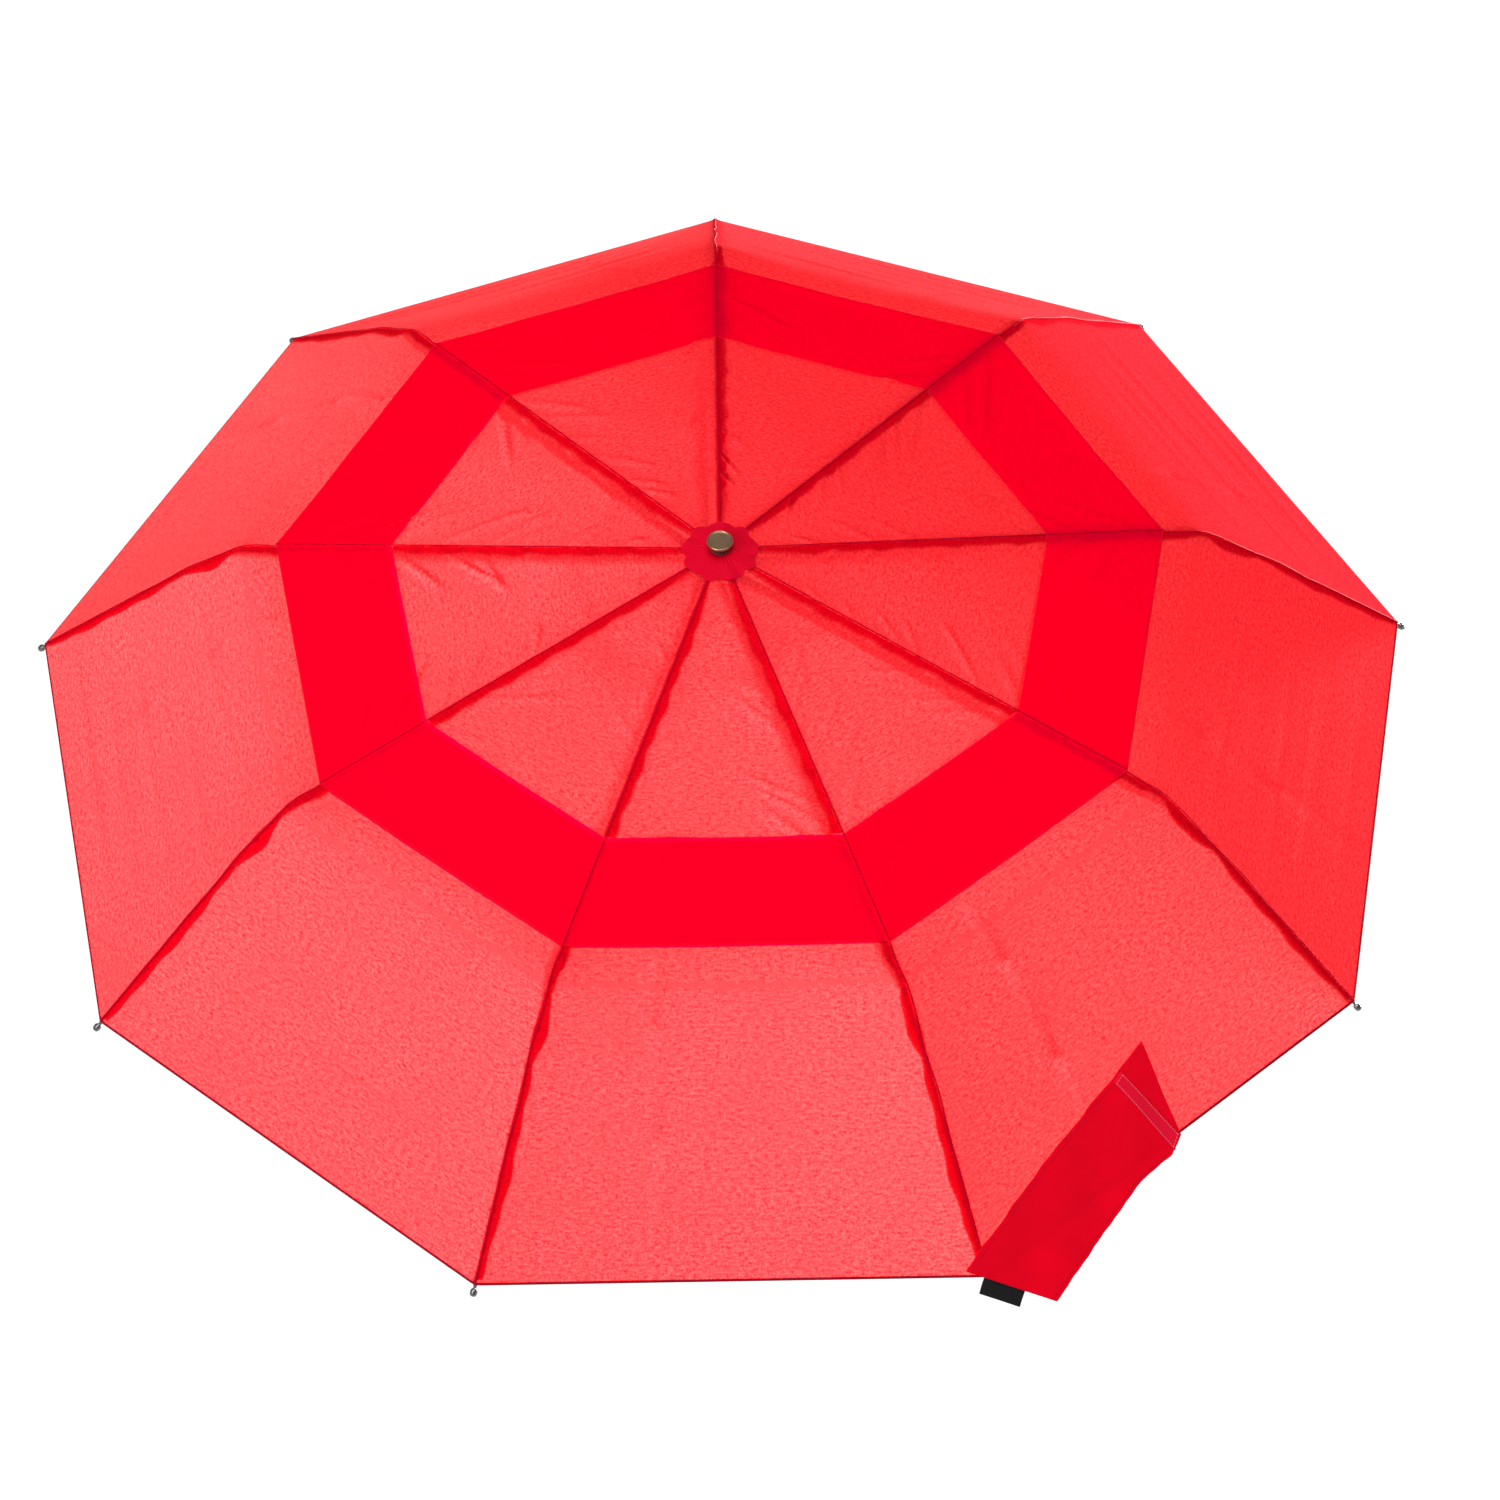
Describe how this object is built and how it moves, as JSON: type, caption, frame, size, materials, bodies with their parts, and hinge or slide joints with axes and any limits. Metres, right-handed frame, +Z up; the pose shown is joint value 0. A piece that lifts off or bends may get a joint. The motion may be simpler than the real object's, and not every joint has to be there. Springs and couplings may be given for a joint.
{
  "type": "folding golf umbrella",
  "caption": "Open folding golf umbrella with a vented double canopy, folding steel ribs, telescopic shaft, tie strap and short grip.",
  "frame": {"origin": "on the shaft axis at the middle of the hand grip", "axes": "+Z up the shaft towards the crown, rib 1 and the wrist strap point to +Y, the push button faces -Y"},
  "size_m": [1.2234, 1.2134, 0.82],
  "materials": {
    "canopy_cloth": "thin plain-weave polyester pongee, salmon red where light comes through",
    "trim_cloth": "doubled canopy cloth, opaque deep red",
    "hook_patch": "woven hook tape, muted rose",
    "label_cloth": "plain black woven tag",
    "strap_webbing": "black woven tape",
    "rib_steel": "black painted steel channel",
    "bright_steel": "nickel-plated steel, dark satin",
    "shaft_steel": "black enamelled steel tube",
    "cap_metal": "brushed bronze-nickel",
    "hub_plastic": "black moulded nylon",
    "handle_plastic": "black moulded plastic",
    "button_plastic": "grey moulded plastic",
    "grip_rubber": "matt black rubber with ring grooves"
  },
  "bodies": {
    "handle": {"handle_shell": "handle_plastic", "grip_sleeve": "grip_rubber", "handle_end_cap": "handle_plastic", "strap_pin": "bright_steel", "lower_tube": "shaft_steel", "main_spring": "bright_steel"},
    "button": {"push_button": "button_plastic"},
    "wrist_strap": {"wrist_strap": "strap_webbing"},
    "middle_section": {"middle_tube": "shaft_steel"},
    "upper_section": {"upper_tube": "shaft_steel", "crown": "hub_plastic", "crown_ring": "bright_steel", "crown_cap": "cap_metal", "rosette": "trim_cloth", "vent_canopy": "canopy_cloth", "main_canopy": "canopy_cloth"},
    "runner": {"runner": "hub_plastic", "runner_ring": "bright_steel"},
    "top_rib_1": {"top_rib_1": "rib_steel"},
    "stretcher_1": {"stretcher_1": "rib_steel"},
    "middle_rib_1": {"middle_rib_1": "rib_steel"},
    "tail_rib_1": {"tail_rib_1": "bright_steel"},
    "top_rib_2": {"top_rib_2": "rib_steel"},
    "stretcher_2": {"stretcher_2": "rib_steel"},
    "middle_rib_2": {"middle_rib_2": "rib_steel"},
    "tail_rib_2": {"tail_rib_2": "bright_steel"},
    "top_rib_3": {"top_rib_3": "rib_steel"},
    "stretcher_3": {"stretcher_3": "rib_steel"},
    "middle_rib_3": {"middle_rib_3": "rib_steel"},
    "tail_rib_3": {"tail_rib_3": "bright_steel"},
    "top_rib_4": {"top_rib_4": "rib_steel"},
    "stretcher_4": {"stretcher_4": "rib_steel"},
    "middle_rib_4": {"middle_rib_4": "rib_steel"},
    "tail_rib_4": {"tail_rib_4": "bright_steel"},
    "top_rib_5": {"top_rib_5": "rib_steel"},
    "stretcher_5": {"stretcher_5": "rib_steel"},
    "middle_rib_5": {"middle_rib_5": "rib_steel"},
    "tail_rib_5": {"tail_rib_5": "bright_steel"},
    "top_rib_6": {"top_rib_6": "rib_steel"},
    "stretcher_6": {"stretcher_6": "rib_steel"},
    "middle_rib_6": {"middle_rib_6": "rib_steel"},
    "tail_rib_6": {"tail_rib_6": "bright_steel"},
    "top_rib_7": {"top_rib_7": "rib_steel"},
    "stretcher_7": {"stretcher_7": "rib_steel"},
    "middle_rib_7": {"middle_rib_7": "rib_steel"},
    "tail_rib_7": {"tail_rib_7": "bright_steel"},
    "top_rib_8": {"top_rib_8": "rib_steel"},
    "stretcher_8": {"stretcher_8": "rib_steel"},
    "middle_rib_8": {"middle_rib_8": "rib_steel"},
    "tail_rib_8": {"tail_rib_8": "bright_steel"},
    "top_rib_9": {"top_rib_9": "rib_steel"},
    "stretcher_9": {"stretcher_9": "rib_steel"},
    "middle_rib_9": {"middle_rib_9": "rib_steel"},
    "tail_rib_9": {"tail_rib_9": "bright_steel"},
    "tie_strap": {"tie_strap": "trim_cloth", "hook_patch": "hook_patch", "label_tag": "label_cloth"}
  },
  "joints": [
    {"name": "push_button", "type": "slide", "parent": "handle", "child": "button", "axis": [0, 1, 0], "range_m": [0, 0.003], "stiffness_N_per_m": 500, "springref_m": -0.003},
    {"name": "wrist_strap_swing", "type": "hinge", "parent": "handle", "child": "wrist_strap", "pos_m": [0, 0.013, -0.0455], "axis": [1, 0, 0], "range_deg": [-20, 100]},
    {"name": "shaft_slide", "type": "slide", "parent": "handle", "child": "middle_section", "axis": [0, 0, -1], "range_m": [0, 0.145], "stiffness_N_per_m": 60, "springref_m": -0.4, "deforming": ["main_spring"]},
    {"name": "upper_slide", "type": "slide", "parent": "middle_section", "child": "upper_section", "axis": [0, 0, -1], "range_m": [0, 0.145]},
    {"name": "canopy_fold", "type": "hinge", "parent": "upper_section", "child": "top_rib_1", "pos_m": [0, 0.0105, 0.60096], "axis": [-1, 0, 0], "range_deg": [0, 77.6], "stiffness_Nm_per_rad": 0.5, "springref_deg": -114.59, "deforming": ["vent_canopy", "main_canopy"]},
    {"name": "stretcher_1_fold", "type": "hinge", "parent": "top_rib_1", "child": "stretcher_1", "pos_m": [0, 0.11402, 0.58341], "axis": [-1, 0, 0], "range_deg": [-135.69, 0]},
    {"name": "middle_rib_1_fold", "type": "hinge", "parent": "top_rib_1", "child": "middle_rib_1", "pos_m": [0, 0.21888, 0.56899], "axis": [-1, 0, 0], "range_deg": [-177.5, 0]},
    {"name": "tail_rib_1_fold", "type": "hinge", "parent": "middle_rib_1", "child": "tail_rib_1", "pos_m": [0, 0.42131, 0.5306], "axis": [-1, 0, 0], "range_deg": [0, 147.74]},
    {"name": "top_rib_2_fold", "type": "hinge", "parent": "upper_section", "child": "top_rib_2", "pos_m": [0.00675, 0.00804, 0.60096], "axis": [-0.766, 0.6428, 0], "range_deg": [0, 77.6]},
    {"name": "stretcher_2_fold", "type": "hinge", "parent": "top_rib_2", "child": "stretcher_2", "pos_m": [0.07329, 0.08735, 0.58341], "axis": [-0.766, 0.6428, 0], "range_deg": [-135.69, 0]},
    {"name": "middle_rib_2_fold", "type": "hinge", "parent": "top_rib_2", "child": "middle_rib_2", "pos_m": [0.14069, 0.16767, 0.56899], "axis": [-0.766, 0.6428, 0], "range_deg": [-177.5, 0]},
    {"name": "tail_rib_2_fold", "type": "hinge", "parent": "middle_rib_2", "child": "tail_rib_2", "pos_m": [0.27081, 0.32274, 0.5306], "axis": [-0.766, 0.6428, 0], "range_deg": [0, 147.74]},
    {"name": "top_rib_3_fold", "type": "hinge", "parent": "upper_section", "child": "top_rib_3", "pos_m": [0.01034, 0.00182, 0.60096], "axis": [-0.1736, 0.9848, 0], "range_deg": [0, 77.6]},
    {"name": "stretcher_3_fold", "type": "hinge", "parent": "top_rib_3", "child": "stretcher_3", "pos_m": [0.11229, 0.0198, 0.58341], "axis": [-0.1736, 0.9848, 0], "range_deg": [-135.69, 0]},
    {"name": "middle_rib_3_fold", "type": "hinge", "parent": "top_rib_3", "child": "middle_rib_3", "pos_m": [0.21555, 0.03801, 0.56899], "axis": [-0.1736, 0.9848, 0], "range_deg": [-177.5, 0]},
    {"name": "tail_rib_3_fold", "type": "hinge", "parent": "middle_rib_3", "child": "tail_rib_3", "pos_m": [0.41491, 0.07316, 0.5306], "axis": [-0.1736, 0.9848, 0], "range_deg": [0, 147.74]},
    {"name": "top_rib_4_fold", "type": "hinge", "parent": "upper_section", "child": "top_rib_4", "pos_m": [0.00909, -0.00525, 0.60096], "axis": [0.5, 0.866, 0], "range_deg": [0, 77.6]},
    {"name": "stretcher_4_fold", "type": "hinge", "parent": "top_rib_4", "child": "stretcher_4", "pos_m": [0.09875, -0.05701, 0.58341], "axis": [0.5, 0.866, 0], "range_deg": [-135.69, 0]},
    {"name": "middle_rib_4_fold", "type": "hinge", "parent": "top_rib_4", "child": "middle_rib_4", "pos_m": [0.18955, -0.10944, 0.56899], "axis": [0.5, 0.866, 0], "range_deg": [-177.5, 0]},
    {"name": "tail_rib_4_fold", "type": "hinge", "parent": "middle_rib_4", "child": "tail_rib_4", "pos_m": [0.36486, -0.21065, 0.5306], "axis": [0.5, 0.866, 0], "range_deg": [0, 147.74]},
    {"name": "top_rib_5_fold", "type": "hinge", "parent": "upper_section", "child": "top_rib_5", "pos_m": [0.00359, -0.00987, 0.60096], "axis": [0.9397, 0.342, 0], "range_deg": [0, 77.6]},
    {"name": "stretcher_5_fold", "type": "hinge", "parent": "top_rib_5", "child": "stretcher_5", "pos_m": [0.039, -0.10715, 0.58341], "axis": [0.9397, 0.342, 0], "range_deg": [-135.69, 0]},
    {"name": "middle_rib_5_fold", "type": "hinge", "parent": "top_rib_5", "child": "middle_rib_5", "pos_m": [0.07486, -0.20568, 0.56899], "axis": [0.9397, 0.342, 0], "range_deg": [-177.5, 0]},
    {"name": "tail_rib_5_fold", "type": "hinge", "parent": "middle_rib_5", "child": "tail_rib_5", "pos_m": [0.1441, -0.3959, 0.5306], "axis": [0.9397, 0.342, 0], "range_deg": [0, 147.74]},
    {"name": "top_rib_6_fold", "type": "hinge", "parent": "upper_section", "child": "top_rib_6", "pos_m": [-0.00359, -0.00987, 0.60096], "axis": [0.9397, -0.342, 0], "range_deg": [0, 77.6]},
    {"name": "stretcher_6_fold", "type": "hinge", "parent": "top_rib_6", "child": "stretcher_6", "pos_m": [-0.039, -0.10715, 0.58341], "axis": [0.9397, -0.342, 0], "range_deg": [-135.69, 0]},
    {"name": "middle_rib_6_fold", "type": "hinge", "parent": "top_rib_6", "child": "middle_rib_6", "pos_m": [-0.07486, -0.20568, 0.56899], "axis": [0.9397, -0.342, 0], "range_deg": [-177.5, 0]},
    {"name": "tail_rib_6_fold", "type": "hinge", "parent": "middle_rib_6", "child": "tail_rib_6", "pos_m": [-0.1441, -0.3959, 0.5306], "axis": [0.9397, -0.342, 0], "range_deg": [0, 147.74]},
    {"name": "top_rib_7_fold", "type": "hinge", "parent": "upper_section", "child": "top_rib_7", "pos_m": [-0.00909, -0.00525, 0.60096], "axis": [0.5, -0.866, 0], "range_deg": [0, 77.6]},
    {"name": "stretcher_7_fold", "type": "hinge", "parent": "top_rib_7", "child": "stretcher_7", "pos_m": [-0.09875, -0.05701, 0.58341], "axis": [0.5, -0.866, 0], "range_deg": [-135.69, 0]},
    {"name": "middle_rib_7_fold", "type": "hinge", "parent": "top_rib_7", "child": "middle_rib_7", "pos_m": [-0.18955, -0.10944, 0.56899], "axis": [0.5, -0.866, 0], "range_deg": [-177.5, 0]},
    {"name": "tail_rib_7_fold", "type": "hinge", "parent": "middle_rib_7", "child": "tail_rib_7", "pos_m": [-0.36486, -0.21065, 0.5306], "axis": [0.5, -0.866, 0], "range_deg": [0, 147.74]},
    {"name": "top_rib_8_fold", "type": "hinge", "parent": "upper_section", "child": "top_rib_8", "pos_m": [-0.01034, 0.00182, 0.60096], "axis": [-0.1736, -0.9848, 0], "range_deg": [0, 77.6]},
    {"name": "stretcher_8_fold", "type": "hinge", "parent": "top_rib_8", "child": "stretcher_8", "pos_m": [-0.11229, 0.0198, 0.58341], "axis": [-0.1736, -0.9848, 0], "range_deg": [-135.69, 0]},
    {"name": "middle_rib_8_fold", "type": "hinge", "parent": "top_rib_8", "child": "middle_rib_8", "pos_m": [-0.21555, 0.03801, 0.56899], "axis": [-0.1736, -0.9848, 0], "range_deg": [-177.5, 0]},
    {"name": "tail_rib_8_fold", "type": "hinge", "parent": "middle_rib_8", "child": "tail_rib_8", "pos_m": [-0.41491, 0.07316, 0.5306], "axis": [-0.1736, -0.9848, 0], "range_deg": [0, 147.74]},
    {"name": "top_rib_9_fold", "type": "hinge", "parent": "upper_section", "child": "top_rib_9", "pos_m": [-0.00675, 0.00804, 0.60096], "axis": [-0.766, -0.6428, 0], "range_deg": [0, 77.6]},
    {"name": "stretcher_9_fold", "type": "hinge", "parent": "top_rib_9", "child": "stretcher_9", "pos_m": [-0.07329, 0.08735, 0.58341], "axis": [-0.766, -0.6428, 0], "range_deg": [-135.69, 0]},
    {"name": "middle_rib_9_fold", "type": "hinge", "parent": "top_rib_9", "child": "middle_rib_9", "pos_m": [-0.14069, 0.16767, 0.56899], "axis": [-0.766, -0.6428, 0], "range_deg": [-177.5, 0]},
    {"name": "tail_rib_9_fold", "type": "hinge", "parent": "middle_rib_9", "child": "tail_rib_9", "pos_m": [-0.27081, 0.32274, 0.5306], "axis": [-0.766, -0.6428, 0], "range_deg": [0, 147.74]},
    {"name": "runner_slide", "type": "slide", "parent": "upper_section", "child": "runner", "axis": [0, 0, -1], "range_m": [0, 0.14661]},
    {"name": "tie_strap_swing", "type": "hinge", "parent": "tail_rib_5", "child": "tie_strap", "pos_m": [0.19144, -0.58027, 0.3791], "axis": [0.2509, -0.6893, -0.6796], "range_deg": [0, 100]}
  ],
  "couplings": [
    {"joint": "upper_slide", "follows": "shaft_slide", "ratio": 1},
    {"joint": "stretcher_1_fold", "follows": "canopy_fold", "ratio": -1.7487},
    {"joint": "middle_rib_1_fold", "follows": "canopy_fold", "ratio": -2.2875},
    {"joint": "tail_rib_1_fold", "follows": "canopy_fold", "ratio": 1.9039},
    {"joint": "top_rib_2_fold", "follows": "canopy_fold", "ratio": 1},
    {"joint": "stretcher_2_fold", "follows": "canopy_fold", "ratio": -1.7487},
    {"joint": "middle_rib_2_fold", "follows": "canopy_fold", "ratio": -2.2875},
    {"joint": "tail_rib_2_fold", "follows": "canopy_fold", "ratio": 1.9039},
    {"joint": "top_rib_3_fold", "follows": "canopy_fold", "ratio": 1},
    {"joint": "stretcher_3_fold", "follows": "canopy_fold", "ratio": -1.7487},
    {"joint": "middle_rib_3_fold", "follows": "canopy_fold", "ratio": -2.2875},
    {"joint": "tail_rib_3_fold", "follows": "canopy_fold", "ratio": 1.9039},
    {"joint": "top_rib_4_fold", "follows": "canopy_fold", "ratio": 1},
    {"joint": "stretcher_4_fold", "follows": "canopy_fold", "ratio": -1.7487},
    {"joint": "middle_rib_4_fold", "follows": "canopy_fold", "ratio": -2.2875},
    {"joint": "tail_rib_4_fold", "follows": "canopy_fold", "ratio": 1.9039},
    {"joint": "top_rib_5_fold", "follows": "canopy_fold", "ratio": 1},
    {"joint": "stretcher_5_fold", "follows": "canopy_fold", "ratio": -1.7487},
    {"joint": "middle_rib_5_fold", "follows": "canopy_fold", "ratio": -2.2875},
    {"joint": "tail_rib_5_fold", "follows": "canopy_fold", "ratio": 1.9039},
    {"joint": "top_rib_6_fold", "follows": "canopy_fold", "ratio": 1},
    {"joint": "stretcher_6_fold", "follows": "canopy_fold", "ratio": -1.7487},
    {"joint": "middle_rib_6_fold", "follows": "canopy_fold", "ratio": -2.2875},
    {"joint": "tail_rib_6_fold", "follows": "canopy_fold", "ratio": 1.9039},
    {"joint": "top_rib_7_fold", "follows": "canopy_fold", "ratio": 1},
    {"joint": "stretcher_7_fold", "follows": "canopy_fold", "ratio": -1.7487},
    {"joint": "middle_rib_7_fold", "follows": "canopy_fold", "ratio": -2.2875},
    {"joint": "tail_rib_7_fold", "follows": "canopy_fold", "ratio": 1.9039},
    {"joint": "top_rib_8_fold", "follows": "canopy_fold", "ratio": 1},
    {"joint": "stretcher_8_fold", "follows": "canopy_fold", "ratio": -1.7487},
    {"joint": "middle_rib_8_fold", "follows": "canopy_fold", "ratio": -2.2875},
    {"joint": "tail_rib_8_fold", "follows": "canopy_fold", "ratio": 1.9039},
    {"joint": "top_rib_9_fold", "follows": "canopy_fold", "ratio": 1},
    {"joint": "stretcher_9_fold", "follows": "canopy_fold", "ratio": -1.7487},
    {"joint": "middle_rib_9_fold", "follows": "canopy_fold", "ratio": -2.2875},
    {"joint": "tail_rib_9_fold", "follows": "canopy_fold", "ratio": 1.9039},
    {"joint": "runner_slide", "follows": "canopy_fold", "m_per_rad": 0.10825}
  ]
}
